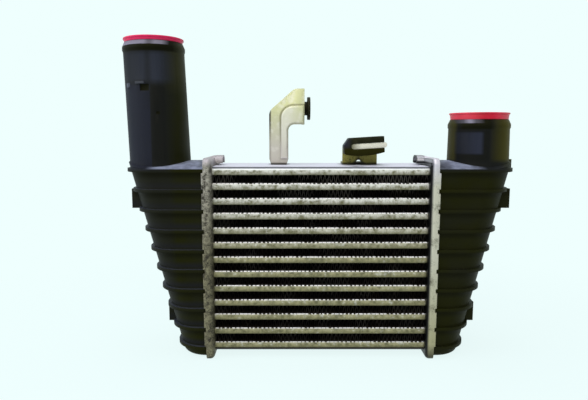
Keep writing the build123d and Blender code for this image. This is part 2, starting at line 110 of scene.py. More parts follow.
class CoolerColours(bpy.types.PropertyGroup):
    """Colours of the cooler's finishes"""

    nylon: colour("Tank nylon", "Bluish black of the moulded tanks", "#14151a")
    # Painted bluish sheen on the left stub and on the sleeve's nose
    nylon_blue_sheen: colour("Bare nylon", "Drier nylon on the left stub, and the sleeve's dry nose", "#1d1f2c")
    nylon_sheen: colour("Right sheen", "Bluish sheen on the right stub's front", "#272a39")
    # Painted bluish sheen high on the left stub
    nylon_high_sheen: colour("Upper nylon", "Bluish, drier skin high on the left stub", "#2b2e3a")
    # Painted shade: bluish black strips along the stubs
    nylon_shade: colour("Deep nylon", "Bluish black strips along the stubs", "#08090f")
    # Painted olive sheen, with film, on both edges of the right stub
    stub_edge_sheen: colour("Stub film", "Thick olive film on the right stub", "#423d05")
    # Painted olive sheen, with film, high on the left stub
    high_olive_sheen: colour("High film", "Olive film high on the left stub", "#302f1e")
    # Painted highlight on the knob of the left stub
    knob_highlight: colour("Worn knob", "Rubbed knob on the left stub", "#565862")
    nylon_film: colour("Tank film", "Olive oil film on the tanks", "#171804")
    # Painted bluish sheen, flecked like dust, on the upper sides of domes and ribs
    upward_sheen: colour("Dust", "Bluish dust on the upper sides of domes and ribs", "#868ca0")
    oil_sheen: colour("Oil sheen", "Warm tint of reflections on the oily nylon", "#fff8a8")
    # Black of the bead bands and gate mark, and painted shade under the ribs, in the latch pocket and in the
    # right header
    black_and_shade: colour("Grease", "Black grease on beads, between ribs and in the right header", "#030303")
    # Painted highlight on the front of the latch tab on the left stub
    latch_highlight: colour("Latch", "Rubbed front of the latch tab on the left stub", "#3e4047")
    # Painted highlight on the bevel of the hose stubs
    lip_highlight: colour("Worn lip", "Scuffed bevel of the hose stubs", "#827d8c")
    tube: colour("Upper tubes", "Brazed aluminium of the upper tubes", "#d2ccc0")
    tube_low: colour("Lower tubes", "Dirtier aluminium of the lower tubes", "#a29a72")
    # Flux and dirt on tubes, bracket and clip, and painted shade on the bracket and clip
    stain_and_shade: colour("Tube stain", "Flux and dirt on tubes, bracket and clip", "#6a6648")
    # Pale rubbed patches on the tube faces, and a painted highlight along the upper tubes' upper edge
    tube_fresh_and_lit: colour("Fresh metal", "Pale rubbed patches on the tube faces", "#e2dfd4")
    # Painted white highlight on the upper edge of the tubes
    edge_highlight: colour("Flux residue", "White residue on the upper edge of the tubes", "#faf8f4")
    fin: colour("Fin sheet", "Sooty fin foil", "#201812")
    soot: colour("Soot", "Black soot on the fin foil", "#0a0604")
    fin_edge: colour("Fin edges", "Barer foil at the front and back edges", "#7a746c")
    left_header: colour("Left header", "Rough metal of the left header", "#aea79a")
    left_header_low: colour("Left header below", "Duller metal low on the left header", "#847d62")
    left_header_stain: colour("Left header stain", "Dark stain of the left header", "#322d24")
    right_header: colour("Right header", "Smoother metal of the right header", "#c6c1ae")
    right_header_low: colour("Right header below", "Yellower metal low on the right header", "#a8a27e")
    right_header_stain: colour("Right header stain", "Dark stain of the right header", "#5e5a48")
    left_tongue: colour("Left tongue", "Cleaner metal of the left curled tongue", "#a9a1a3")
    right_tongue: colour("Right tongue", "Cleaner metal of the right curled tongue", "#949296")
    right_bend: colour("Right bend", "Rubbed metal at the right header's upper bend", "#d2ccd6")
    # Dark grime, and painted shade in corners, at feet, under the clip's arch and on inner sides
    grime_and_shade: colour("Grime", "Dark grime in corners and on the inner sides", "#1e1b13")
    plate: colour("Side plate", "Bright metal of the side plates", "#dcdce8")
    # Painted shade on the front and back edges of the side plates
    plate_edge_shade: colour("Plate edge", "Dull cut edge of the side plates", "#77767c")
    bracket: colour("Tall bracket", "Yellowish metal high on the tall bracket", "#c8c697")
    # Rubbed blotches, and painted light on the raised band
    bracket_rubbed_and_lit: colour("Rubbed band", "Paler metal on the raised band", "#e6e0d4")
    bracket_low: colour("Bracket grey", "Greyer metal low on the tall bracket", "#c8c0b2")
    clip: colour("Clip bracket", "Olive-stained metal of the clip", "#989048")
    clip_tongue: colour("Clip tongue", "Pale metal of the clip's tongue", "#ded8c8")
    rubber: colour("Rubber", "Black rubber of grommet and sleeve", "#10120e")
    rubber_bloom: colour("Rubber bloom", "Greyish bloom on the rubber", "#24231a")
    # Painted olive sheen low on the clip's sleeve
    sleeve_olive_sheen: colour("Rubber oil", "Olive film low on the clip's sleeve", "#181600")
    cap: colour("Transit caps", "Red polyethylene", "#e0143c")
    cap_deep: colour("Deep cap", "Deeper red clouds in the right cap", "#c4152a")
    cap_left: colour("Left cap", "Pinker polyethylene of the left cap", "#e02258")
    # Painted light at both sides of the right cap, where its wall is thin
    cap_side_light: colour("Thin cap", "Paler polyethylene where the cap is thin", "#f0606c")
    backdrop: colour("Backdrop", "Floor and background", "#effffe")
    fill: colour("Fill light", "Bluish light from the surroundings", "#f2f6ff")


class CoolerSizes(bpy.types.PropertyGroup):
    """Sizes of the cooler's small shapes"""

    edge: length("Moulded edge", "Rounding of the tank and rubber edges", 0.6)
    sheet_edge: length("Sheet edge", "Rounding of the pressed sheet and cap edges", 0.4)
    fin_sheet: length("Fin sheet", "Thickness of the fin foil", 0.14)
    fin_foot: length("Fin foot", "Flat where a fold meets the tube", 0.5)
    fin_scatter: length("Fin scatter", "How far folds stray from their place", 0.1)
    fin_folds: bpy.props.IntProperty(name="Fin folds", description="Folds in one fin strip", default=51)


class CoolerSettings(bpy.types.PropertyGroup):
    """All settings of the cooler"""

    colours: bpy.props.PointerProperty(type=CoolerColours)
    sizes: bpy.props.PointerProperty(type=CoolerSizes)


def add_node(tree, kind, inputs=None, stops=None, **settings):
    """Adds a node, sets it up, and fills its sockets with values or with other nodes' outputs"""
    node = tree.nodes.new(kind)
    for name, value in settings.items():
        setattr(node, name, value)
    for name, value in (inputs or {}).items():
        if isinstance(value, bpy.types.NodeSocket):
            tree.links.new(value, node.inputs[name])
        else:
            node.inputs[name].default_value = value
    if stops:
        ramp = node.color_ramp
        while len(ramp.elements) < len(stops):
            ramp.elements.new(1.0)
        for element, (position, shade) in zip(ramp.elements, stops):
            element.position = position
            element.color = shade
    return node


def mask(tree, *terms):
    """Share where all terms hold: ready shares, or values with a start, an end and the shares at both"""
    product = None
    for term in terms:
        if isinstance(term, tuple):
            value, start, end, *shares = term
            low, high = shares or (0.0, 1.0)
            limits = {"Value": value, "From Min": start, "From Max": end, "To Min": low, "To Max": high}
            term = add_node(tree, "ShaderNodeMapRange", limits).outputs["Result"]
        if product is not None:
            term = add_node(tree, "ShaderNodeMath", {0: product, 1: term}, operation="MULTIPLY").outputs[0]
        product = term
    return product


def either(tree, first, second):
    """Share where one term of a mask or the other holds"""
    shares = {0: mask(tree, first), 1: mask(tree, second)}
    return add_node(tree, "ShaderNodeMath", shares, operation="MAXIMUM").outputs[0]


def between(value, start, end, edge):
    """Terms of a mask that is 1 from start to end, with soft edges"""
    return (value, start - edge, start + edge), (value, end + edge, end - edge)


def scale_of(millimetres):
    """Noise scale whose patches are about this size on Object coordinates in metres"""
    return 1000 / millimetres


def new_finish(name):
    """A material with a plain surface shader, and its Object coordinates"""
    finish = bpy.data.materials.new(name)
    finish.use_nodes = True
    tree = finish.node_tree
    tree.nodes.clear()
    surface = add_node(tree, "ShaderNodeBsdfPrincipled")
    add_node(tree, "ShaderNodeOutputMaterial", {"Surface": surface.outputs["BSDF"]})
    place = add_node(tree, "ShaderNodeTexCoord")
    return finish, tree, surface, place.outputs["Object"]


def lay_over(surface, shade, *terms):
    """Covers the surface's colour with another shade where all terms of a mask hold"""
    tree = surface.id_data
    below = surface.inputs["Base Color"].links[0].from_socket
    mix = add_node(tree, "ShaderNodeMix", {0: mask(tree, *terms), 6: below, 7: shade}, data_type="RGBA")
    tree.links.new(mix.outputs[2], surface.inputs["Base Color"])


def tank_places(tree, place, cloud):
    """Distances and ready shares that the tanks' finish is laid out by"""
    x, y, z = add_node(tree, "ShaderNodeSeparateXYZ", {0: place}).outputs
    side = add_node(tree, "ShaderNodeMath", {0: x}, operation="SIGN").outputs[0]
    from_stub = {0: side, 1: -stub_middle, 2: x}
    return SimpleNamespace(
        x=x,
        z=z,
        side=side,
        across=add_node(tree, "ShaderNodeMath", from_stub, operation="MULTIPLY_ADD").outputs[0],
        on_left=mask(tree, (x, 0.001, -0.001)),
        on_right=mask(tree, (x, -0.001, 0.001)),
        front=mask(tree, (y, 0.004, -0.004)),
        body=mask(tree, (z, shoulder, shoulder - 0.003)),
        stub=mask(tree, (z, plate_top + 0.003, plate_top + 0.007)),
        cloudy=mask(tree, (cloud, 0.3, 0.6, 0.6, 1.0)),
    )


def film_sheen_and_shade_on_tanks(surface, colours, at):
    # Oil film on all of the tank bodies, most on the right one, and film with painted olive sheen on the
    # stubs' right sides
    tree = surface.id_data
    film = either(tree, (at.across, 0.011, 0.022), mask(tree, at.body, (at.side, -1.0, 1.0, 0.45, 1.0)))
    tone = add_node(
        tree,
        "ShaderNodeValToRGB",
        {"Fac": mask(tree, film, at.cloudy)},
        stops=[(0.0, colours.nylon), (1.0, colours.nylon_film)],
    )
    tree.links.new(tone.outputs["Color"], surface.inputs["Base Color"])
    # Between the ribs, painted shading: on the left tank the film is left off just above each rib, so it is
    # lighter there, and a painted shadow lies under the next rib
    rise = add_node(tree, "ShaderNodeMath", {0: at.z, 1: first_rib}, operation="SUBTRACT").outputs[0]
    bay = add_node(tree, "ShaderNodeMath", {0: rise, 1: rib_pitch}, operation="MODULO").outputs[0]
    lay_over(surface, colours.nylon, at.body, at.on_left, *between(bay, 0.002, 0.007, 0.002))
    lay_over(surface, colours.black_and_shade, at.body, *between(bay, 0.0135, 0.0165, 0.003))
    # Painted olive sheen, over the film, on both edges of the right stub and high on the left one
    edges = either(tree, (at.across, 0.0, 0.02), (at.across, -0.0252, -0.0272, 0.0, 0.5))
    lay_over(surface, colours.stub_edge_sheen, edges, at.stub, at.on_right)
    high = (at.z, left_stub_top - 0.0496, left_stub_top - 0.0296)
    lay_over(surface, colours.high_olive_sheen, at.on_left, high, (at.across, 0.008, 0.024, 0.0, 0.8))


def sheen_and_shade_on_stubs(surface, colours, at):
    # Painted shade in bluish black strips along the stubs, each between two positions across its stub
    tree = surface.id_data
    for on_side, left, right, top, share in (
        (at.on_left, 0.0015, 0.0125, left_stub_top - 0.0406, 0.5),
        (at.on_right, -0.0262, 0.0005, right_stub_top - 0.0094, 0.7),
    ):
        strip = between(at.across, left, right, 0.0015)
        below = (at.z, top, top - 0.002, 0.0, share)
        lay_over(surface, colours.nylon_shade, at.stub, on_side, *strip, below)
    # Painted bluish sheen on the left stub: left of its parting line, and round its upper end but for one
    # darker streak
    lower = between(at.z, shoulder, left_stub_top - 0.0396, 0.002)
    left_part = (at.across, 0.0, -0.001)
    lay_over(surface, colours.nylon_blue_sheen, at.on_left, at.front, at.cloudy, *lower, left_part)
    upper = between(at.z, left_stub_top - 0.0376, left_stub_top - 0.0106, 0.003)
    streak = mask(tree, *between(at.across, -0.0045, 0.0005, 0.0018))
    fades = ((at.across, 0.022, 0.007), (streak, 0.0, 1.0, 1.0, 0.5), (at.across, -0.025, 0.004, 0.3, 1.0))
    lay_over(surface, colours.nylon_high_sheen, at.on_left, at.front, *upper, *fades)
    # Sheen on the right stub's front, stronger towards its right-hand end
    level = between(at.z, right_stub_top - 0.0319, right_stub_top - 0.0119, 0.001)
    reach = between(at.across, -0.0262, -0.006, 0.0015)
    stronger = (at.across, -0.024, -0.0105, 0.4, 1.0)
    lay_over(surface, colours.nylon_sheen, at.on_right, at.front, *level, *reach, stronger)


def marks_on_stubs(surface, colours, at):
    # Painted highlights on the latch tab and knob, painted shadow in the pocket and a dark gate mark on the
    # left stub, placed from its top
    tree = surface.id_data
    for middle, under_top, width, height, shade in (
        (-0.1647, 0.0381, 0.009, 0.0022, colours.latch_highlight),
        (-0.17755, 0.0401, 0.0041, 0.0038, colours.knob_highlight),
        (-0.16045, 0.0424, 0.0083, 0.006, colours.black_and_shade),
        (-0.1488, 0.0654, 0.0032, 0.0028, colours.black_and_shade),
    ):
        level = left_stub_top - under_top
        wide = between(at.x, middle - width / 2, middle + width / 2, 0.0003)
        tall = between(at.z, level - height / 2, level + height / 2, 0.0003)
        lay_over(surface, shade, at.front, *wide, *tall)
    left_lip = left_stub_top - 0.0021
    left_bead = left_stub_top - 0.0071
    right_lip = right_stub_top - 0.0016
    right_bead = right_stub_top - 0.0064
    # A black band on each bead, and a painted highlight on the bevel above it that is brighter or duller in
    # one place
    for on_side, lip, bead, blackened, lit_span, spot, inside, outside in (
        (at.on_left, left_lip, left_bead, (-0.03, 0.022), (-0.03, 0.0135), (-0.003, 0.003), 0.5, 1.0),
        (at.on_right, right_lip, right_bead, (-0.025, 0.003), (-0.025, -0.0075), (-0.0195, -0.014), 1.0, 0.3),
    ):
        upwards = (at.z, bead - 0.0035, bead - 0.002)
        under_rim = (at.z, bead + 0.0069, bead + 0.0067)
        lay_over(surface, colours.black_and_shade, on_side, upwards, under_rim, *between(at.across, *blackened, 0.003))
        bevel = between(at.z, lip - 0.0019, lip + 0.0019, 0.00005)
        reach = between(at.across, *lit_span, 0.003)
        spotted = (mask(tree, *between(at.across, *spot, 0.002)), 0.0, 1.0, outside, inside)
        lay_over(surface, colours.lip_highlight, on_side, at.front, *bevel, *reach, spotted)


def upward_sheen_on_tanks(surface, colours, at, place):
    # Painted bluish sheen on what faces up, flecked like dust: the domes, and less on the left ribs and lugs
    tree = surface.id_data
    facing = add_node(tree, "ShaderNodeNewGeometry").outputs["Normal"]
    upward = add_node(tree, "ShaderNodeSeparateXYZ", {0: facing}).outputs["Z"]
    lit_upward = mask(tree, (upward, 0.2, 0.75), (at.z, plate_top + 0.01, plate_top + 0.007))
    lay_over(surface, colours.upward_sheen, lit_upward, at.on_left, (at.body, 0.0, 1.0, 0.0, 0.12))
    beside_left = mask(tree, at.on_left, (at.across, -0.006, 0.004))
    fading = (at.across, -0.045, -0.03, 0.4, 1.0)
    beside_right = mask(tree, at.on_right, fading, (at.across, -0.002, -0.016))
    beside = either(tree, beside_left, beside_right)
    flecks = add_node(tree, "ShaderNodeTexNoise", {"Vector": place, "Scale": scale_of(9), "Detail": 4.0})
    flecked = (flecks.outputs["Fac"], 0.35, 0.65, 0.4, 1.0)
    lay_over(surface, colours.upward_sheen, lit_upward, beside, (at.body, 1.0, 0.0), flecked)


def moulded_nylon(colours):
    # Glass-filled nylon, injection moulded: dull black, finely grained skin, dry in places, oily in others
    finish, tree, surface, place = new_finish("moulded_nylon")
    cloud = add_node(tree, "ShaderNodeTexNoise", {"Vector": place, "Scale": scale_of(30), "Detail": 3.0})
    cloud = cloud.outputs["Fac"]
    at = tank_places(tree, place, cloud)
    film_sheen_and_shade_on_tanks(surface, colours, at)
    sheen_and_shade_on_stubs(surface, colours, at)
    marks_on_stubs(surface, colours, at)
    upward_sheen_on_tanks(surface, colours, at, place)
    grain = add_node(tree, "ShaderNodeTexNoise", {"Vector": place, "Scale": scale_of(1.1), "Detail": 2.0})
    relief = {"Height": grain.outputs["Fac"], "Strength": 0.12, "Distance": 0.0002}
    bump = add_node(tree, "ShaderNodeBump", relief)
    tree.links.new(bump.outputs["Normal"], surface.inputs["Normal"])
    tree.links.new(mask(tree, (cloud, 0.3, 0.7, 0.48, 0.58)), surface.inputs["Roughness"])
    surface.inputs["Specular IOR Level"].default_value = 0.1
    surface.inputs["Specular Tint"].default_value = colours.oil_sheen
    return finish


def stained_metal(name, shades, patch_mm, cover, roughness, relief, fade=(0.06, 0.18), metallic=0.4):
    # Brazed aluminium: dull under flux residue and dirt, cleaner towards the top, with small dark pits
    finish, tree, surface, place = new_finish(name)
    clean, low, stain = shades
    axes = add_node(tree, "ShaderNodeSeparateXYZ", {0: place}).outputs
    coarse = {"Vector": place, "Scale": scale_of(patch_mm), "Detail": 6.0, "Roughness": 0.7}
    patch = add_node(tree, "ShaderNodeTexNoise", coarse).outputs["Fac"]
    fine = {"Vector": place, "Scale": scale_of(1.3), "Detail": 3.0, "Roughness": 0.6}
    speck = add_node(tree, "ShaderNodeTexNoise", fine).outputs["Fac"]
    speckled = {0: speck, 1: 0.5, 2: patch}
    blend = add_node(tree, "ShaderNodeMath", speckled, operation="MULTIPLY_ADD").outputs[0]
    sheet = add_node(
        tree,
        "ShaderNodeValToRGB",
        {"Fac": mask(tree, (axes["Z"], *fade))},
        stops=[(0.0, low), (1.0, clean)],
    )
    tree.links.new(sheet.outputs["Color"], surface.inputs["Base Color"])
    lay_over(surface, stain, (blend, cover + 0.12, cover - 0.12))
    bump = add_node(tree, "ShaderNodeBump", {"Height": blend, "Strength": relief, "Distance": 0.0004})
    tree.links.new(bump.outputs["Normal"], surface.inputs["Normal"])
    surface.inputs["Metallic"].default_value = metallic
    surface.inputs["Roughness"].default_value = roughness
    surface.inputs["Specular IOR Level"].default_value = 0.3
    normal = add_node(tree, "ShaderNodeNewGeometry").outputs["Normal"]
    facing = add_node(tree, "ShaderNodeSeparateXYZ", {0: normal}).outputs
    return SimpleNamespace(finish=finish, tree=tree, surface=surface, place=place, axes=axes, facing=facing)


def tube_metal(colours, folds):
    # Extruded tube: blotched face, darker low down, with painted white highlights in beads under the fins'
    # folds
    shades = (colours.tube, colours.tube_low, colours.stain_and_shade)
    fade = (core_top - 0.082, core_top - 0.037)
    metal = stained_metal(
        "brazed_tube_aluminium", shades, patch_mm=9, cover=0.68, roughness=0.5, relief=0.3, fade=fade
    )
    tree = metal.tree
    surface = metal.surface
    place = metal.place
    z = metal.axes["Z"]
    blotch = add_node(tree, "ShaderNodeTexNoise", {"Vector": place, "Scale": scale_of(4), "Detail": 5.0})
    blotch = blotch.outputs["Fac"]
    lay_over(surface, colours.stain_and_shade, (blotch, 0.5, 0.32))
    lay_over(surface, colours.tube_fresh_and_lit, (blotch, 0.58, 0.7, 0.0, 0.45))
    upright = add_node(tree, "ShaderNodeMapping", {"Vector": place, "Scale": (1.0, 1.0, 0.2)}).outputs[0]
    narrow = {"Vector": upright, "Scale": scale_of(1.8), "Detail": 3.0}
    streaks = add_node(tree, "ShaderNodeTexNoise", narrow)
    lay_over(surface, colours.stain_and_shade, (streaks.outputs["Fac"], 0.46, 0.34, 0.0, 0.45))
    # Each tube is darker low on its face, and the upper ones have a painted highlight along their upper edge
    bottoms = sorted(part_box(name)[0][2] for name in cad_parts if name.startswith("tube_"))
    tall = core_top - bottoms[-1]
    pitch = bottoms[1] - bottoms[0]
    rise = add_node(tree, "ShaderNodeMath", {0: z, 1: bottoms[0]}, operation="SUBTRACT").outputs[0]
    level = add_node(tree, "ShaderNodeMath", {0: rise, 1: pitch}, operation="MODULO").outputs[0]
    lay_over(surface, colours.stain_and_shade, (level, tall * 0.55, 0.0, 0.0, 0.85))
    stray = mask(tree, (blotch, 0.3, 0.7, -0.0012, 0.0012))
    uneven = add_node(tree, "ShaderNodeMath", {0: level, 1: stray}, operation="ADD").outputs[0]
    high = (z, core_top - 0.062, core_top - 0.017, 0.1, 0.8)
    lay_over(surface, colours.tube_fresh_and_lit, high, (uneven, tall * 0.5, tall * 0.8))
    # Painted shade in the fins' colour on the tubes' upward faces, broken by painted highlights under the
    # folds
    upper = mask(tree, (metal.facing["Z"], 0.3, 0.6))
    lay_over(surface, colours.fin, upper)
    bead = highlight_beads(metal, blotch, folds, bottoms[-1])
    lay_over(surface, colours.edge_highlight, upper, bead)
    # A painted highlight high on the topmost tube's face
    lay_over(surface, colours.edge_highlight, (z, bottoms[-1] + tall * 0.7, bottoms[-1] + tall * 0.82))
    tree.links.new(mask(tree, (upper, 0.0, 1.0, 0.4, 0.05)), surface.inputs["Metallic"])
    return metal.finish


def highlight_beads(metal, blotch, folds, top_tube):
    """Share of the painted highlights along the tubes' front edges, in beads that follow the folds of the
    fins
    """
    tree = metal.tree
    x, y, z = metal.axes
    left, right = (corner[0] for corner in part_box("fin_01"))
    fold = (right - left) / folds
    start = mask(tree, (blotch, 0.3, 0.7, -left - 0.0008, -left + 0.0008))
    along = add_node(tree, "ShaderNodeMath", {0: x, 1: start}, operation="ADD").outputs[0]
    wave = add_node(tree, "ShaderNodeMath", {0: along, 1: fold / 2}, operation="PINGPONG").outputs[0]
    coarse = {"Vector": metal.place, "Scale": scale_of(16), "Detail": 2.0}
    patchy = add_node(tree, "ShaderNodeTexNoise", coarse).outputs["Fac"]
    size = mask(tree, (patchy, 0.4, 0.62, -0.0004, 0.0007))
    wave = add_node(tree, "ShaderNodeMath", {0: wave, 1: size}, operation="ADD").outputs[0]
    # The topmost tube has an unbroken painted highlight
    bead = either(tree, (wave, fold * 0.16, fold * 0.28), (z, top_tube - 0.0001, top_tube + 0.0001))
    lean = mask(tree, (z, 0.0, top_tube, -0.0017, 0.0))
    depth = add_node(tree, "ShaderNodeMath", {0: y}, operation="ABSOLUTE").outputs[0]
    depth = add_node(tree, "ShaderNodeMath", {0: depth, 1: lean}, operation="ADD").outputs[0]
    return mask(tree, bead, (depth, fin_front - 0.0016, fin_front - 0.0008))


def left_header_metal(colours):
    # Pressed tray sheet, rough and stained, with a clean tongue
    shades = (colours.left_header, colours.left_header_low, colours.left_header_stain)
    fade = (0.1, 0.18)
    metal = stained_metal(
        "left_header_aluminium", shades, patch_mm=4.5, cover=0.74, roughness=0.55, relief=0.5, fade=fade
    )
    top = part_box("left_header_plate")[1][2]
    # Painted shade on the inner side, which faces the core
    lay_over(metal.surface, colours.grime_and_shade, (metal.facing["X"], 0.3, 0.7, 0.0, 0.3))
    lay_over(metal.surface, colours.left_tongue, (metal.axes["Z"], top - 0.0095, top - 0.004))
    return metal.finish


def right_header_metal(colours):
    # Pressed tray sheet, smoother and paler, rubbed at its upper bend, painted shade inside and under its
    # tongue
    shades = (colours.right_header, colours.right_header_low, colours.right_header_stain)
    fade = (0.02, 0.1)
    metal = stained_metal(
        "right_header_aluminium", shades, patch_mm=14, cover=0.62, roughness=0.42, relief=0.25, fade=fade
    )
    tree = metal.tree
    surface = metal.surface
    x = metal.axes["X"]
    z = metal.axes["Z"]
    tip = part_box("right_header_plate")[0][0]
    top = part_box("right_header_plate")[1][2]
    lay_over(surface, colours.right_bend, (z, top - 0.0275, top - 0.0075, 0.0, 0.85))
    # Painted shade on the inner side, which faces the core
    lay_over(surface, colours.black_and_shade, (metal.facing["X"], -0.3, -0.7))
    # Darker towards the bottom
    lay_over(surface, colours.grime_and_shade, (z, 0.016, 0.004, 0.0, 0.85))
    tongue = mask(tree, (z, top - 0.008, top - 0.007), (x, tip + 0.0093, tip + 0.0073))
    lay_over(surface, colours.right_tongue, tongue)
    # Painted shadow at the tongue's tip and under it
    dark = either(tree, (z, top - 0.0049, top - 0.0059), (x, tip + 0.0012, tip))
    lay_over(surface, colours.black_and_shade, tongue, dark)
    return metal.finish


def plate_metal(colours):
    # Sheet aluminium, clean on top, with painted shade on its front and back edges
    shades = (colours.plate, colours.tube_low, colours.tube)
    metal = stained_metal(
        "side_plate_aluminium", shades, patch_mm=20, cover=0.55, roughness=0.5, relief=0.1, metallic=0.1
    )
    tree = metal.tree
    surface = metal.surface
    x, y, z = metal.axes
    facing = metal.facing
    forward = add_node(tree, "ShaderNodeMath", {0: facing["Y"]}, operation="ABSOLUTE").outputs[0]
    lay_over(surface, colours.plate_edge_shade, (forward, 0.5, 0.9))
    # Darker low down, on the bottom plate
    lay_over(surface, colours.grime_and_shade, (z, 0.1, 0.05, 0.0, 0.85))
    # Painted shadow round the feet of the two brackets, and a dark smear in front of the clip, both streaked
    beside = between(x, clip_left - 0.001, clip_left + 0.036, 0.004)
    clip_foot = mask(tree, *beside, *between(y, -0.008, 0.03, 0.008))
    beside = between(x, bracket_left - 0.0003, bracket_left + 0.0187, 0.002)
    bracket_foot = mask(tree, *beside, *between(y, -0.001, 0.026, 0.002))
    drip = mask(tree, *between(x, clip_left + 0.006, clip_left + 0.017, 0.003), (y, -0.02, -0.026))
    shadow_and_smear = either(tree, either(tree, clip_foot, bracket_foot), drip)
    streaky = {"Vector": metal.place, "Scale": scale_of(7), "Detail": 4.0}
    smear = add_node(tree, "ShaderNodeTexNoise", streaky).outputs["Fac"]
    smeared = (smear, 0.35, 0.6, 0.35, 0.9)
    lay_over(surface, colours.grime_and_shade, shadow_and_smear, smeared, (facing["Z"], 0.5, 0.9))
    return metal.finish


def bracket_metal(colours):
    # Pressed aluminium sheet, yellowed towards the top, with a painted line of shade along its left edge
    shades = (colours.bracket, colours.bracket_low, colours.stain_and_shade)
    fade = (plate_top + 0.017, plate_top + 0.055)
    metal = stained_metal(
        "bracket_aluminium", shades, patch_mm=9, cover=0.5, roughness=0.5, relief=0.12, fade=fade
    )
    tree = metal.tree
    surface = metal.surface
    x, y, z = metal.axes
    facing = metal.facing
    # Painted highlight on the front of the raised band, and rubbed blotches all over
    raised = mask(tree, (y, 0.0015, 0.0005))
    to_left = (x, bracket_left + 0.0307, bracket_left + 0.0187, 0.1, 0.6)
    upwards = (z, plate_top + 0.005, plate_top + 0.031, 0.1, 1.0)
    lay_over(surface, colours.bracket_rubbed_and_lit, raised, (facing["Y"], -0.7, -0.95), to_left, upwards)
    ragged = {"Vector": metal.place, "Scale": scale_of(6), "Detail": 5.0}
    blotch = add_node(tree, "ShaderNodeTexNoise", ragged).outputs["Fac"]
    lay_over(surface, colours.bracket_rubbed_and_lit, (blotch, 0.5, 0.66, 0.0, 0.4))
    # Painted shade on the rounded lower and right-hand sides of the band
    far = either(tree, (facing["Z"], -0.1, -0.8, 0.0, 0.25), (facing["X"], 0.1, 0.8, 0.0, 0.35))
    lay_over(surface, colours.stain_and_shade, raised, far, (z, plate_top + 0.012, plate_top + 0.037, 0.1, 1.0))
    # Painted shadow in the step above and left of the band, in a line that follows its rounded bend
    near = either(tree, (facing["Z"], 0.25, 0.8), (facing["X"], -0.25, -0.8))
    upwards = (z, plate_top + 0.012, plate_top + 0.042, 0.05, 0.4)
    lay_over(surface, colours.stain_and_shade, raised, near, upwards)
    bend_radius = 0.013
    bend_x = bracket_left + 0.0236
    bend_z = plate_top + 0.0447
    beside = mask(tree, (x, bend_x, bend_x - 0.1, 0.0, 0.1))
    above = mask(tree, (z, bend_z, bend_z + 0.1, 0.0, 0.1))
    away = add_node(tree, "ShaderNodeCombineXYZ", {"X": beside, "Y": above}).outputs[0]
    away = add_node(tree, "ShaderNodeVectorMath", {0: away}, operation="LENGTH").outputs["Value"]
    line = between(away, bend_radius - 0.0006, bend_radius + 0.0008, 0.0008)
    lay_over(surface, colours.stain_and_shade, *line, (z, plate_top + 0.009, plate_top + 0.052, 0.05, 0.8))
    # Painted shade along the left edge
    edge = (x, bracket_left + 0.0023, bracket_left + 0.0009)
    lay_over(surface, colours.grime_and_shade, edge, (z, plate_top + 0.023, plate_top + 0.043, 0.4, 1.0))
    # Painted light on the underside of the band's lower end, so that it runs out softly, and a painted shadow
    # at the foot
    end = (z, plate_top + 0.017, plate_top + 0.012)
    lay_over(surface, colours.bracket_rubbed_and_lit, raised, (facing["Z"], -0.1, -0.4), end)
    lay_over(surface, colours.grime_and_shade, (z, plate_top + 0.0025, plate_top + 0.0009, 0.0, 0.9))
    return metal.finish


def clip_metal(colours):
    # Pressed aluminium sheet: olive film on the stem, paler on the rubbed tongue
    shades = (colours.clip, colours.clip, colours.grime_and_shade)
    metal = stained_metal("clip_aluminium", shades, patch_mm=6, cover=0.62, roughness=0.5, relief=0.2)
    tree = metal.tree
    surface = metal.surface
    x, y, z = metal.axes
    # Painted shadow at the foot
    lay_over(surface, colours.grime_and_shade, (z, plate_top + 0.0031, plate_top + 0.0009, 0.0, 0.9))
    # Painted shadow in a peak over the mouse hole in the stem
    beside = add_node(tree, "ShaderNodeMath", {0: x, 1: clip_hole}, operation="SUBTRACT").outputs[0]
    beside = add_node(tree, "ShaderNodeMath", {0: beside}, operation="ABSOLUTE").outputs[0]
    peak = add_node(tree, "ShaderNodeMath", {0: beside, 1: z}, operation="ADD").outputs[0]
    lay_over(surface, colours.grime_and_shade, (peak, plate_top + 0.0092, plate_top + 0.0062, 0.0, 0.9))
    tongue = mask(tree, (y, 0.0036, 0.0034))
    lay_over(surface, colours.clip_tongue, tongue)
    # Painted shade at the tongue's left end and on its underside
    left_end = (x, clip_left + 0.0165, clip_left + 0.008, 0.0, 0.85)
    under = (metal.facing["Z"], -0.2, -0.7, 0.0, 0.7)
    lay_over(surface, colours.stain_and_shade, tongue, either(tree, left_end, under))
    return metal.finish


def sooty_foil(colours):
    # Aluminium fin foil, dulled by soot and oil from the air stream, barer at its edges high on the core
    finish, tree, surface, place = new_finish("sooty_foil")
    soot = add_node(tree, "ShaderNodeTexNoise", {"Vector": place, "Scale": scale_of(4), "Detail": 3.0})
    tone = add_node(
        tree,
        "ShaderNodeValToRGB",
        {"Fac": soot.outputs["Fac"]},
        stops=[(0.35, colours.soot), (0.65, colours.fin)],
    )
    tree.links.new(tone.outputs["Color"], surface.inputs["Base Color"])
    axes = add_node(tree, "ShaderNodeSeparateXYZ", {0: place}).outputs
    clean = add_node(tree, "ShaderNodeTexNoise", {"Vector": place, "Scale": scale_of(22), "Detail": 3.0})
    depth = add_node(tree, "ShaderNodeMath", {0: axes["Y"]}, operation="ABSOLUTE").outputs[0]
    edge = (depth, fin_front - 0.0014, fin_front - 0.0006)
    high = (axes["Z"], core_top - 0.032, core_top - 0.012, 0.3, 1.0)
    lay_over(surface, colours.fin_edge, edge, (clean.outputs["Fac"], 0.48, 0.62), high)
    surface.inputs["Metallic"].default_value = 0.3
    surface.inputs["Roughness"].default_value = 0.6
    surface.inputs["Specular IOR Level"].default_value = 0.2
    return finish


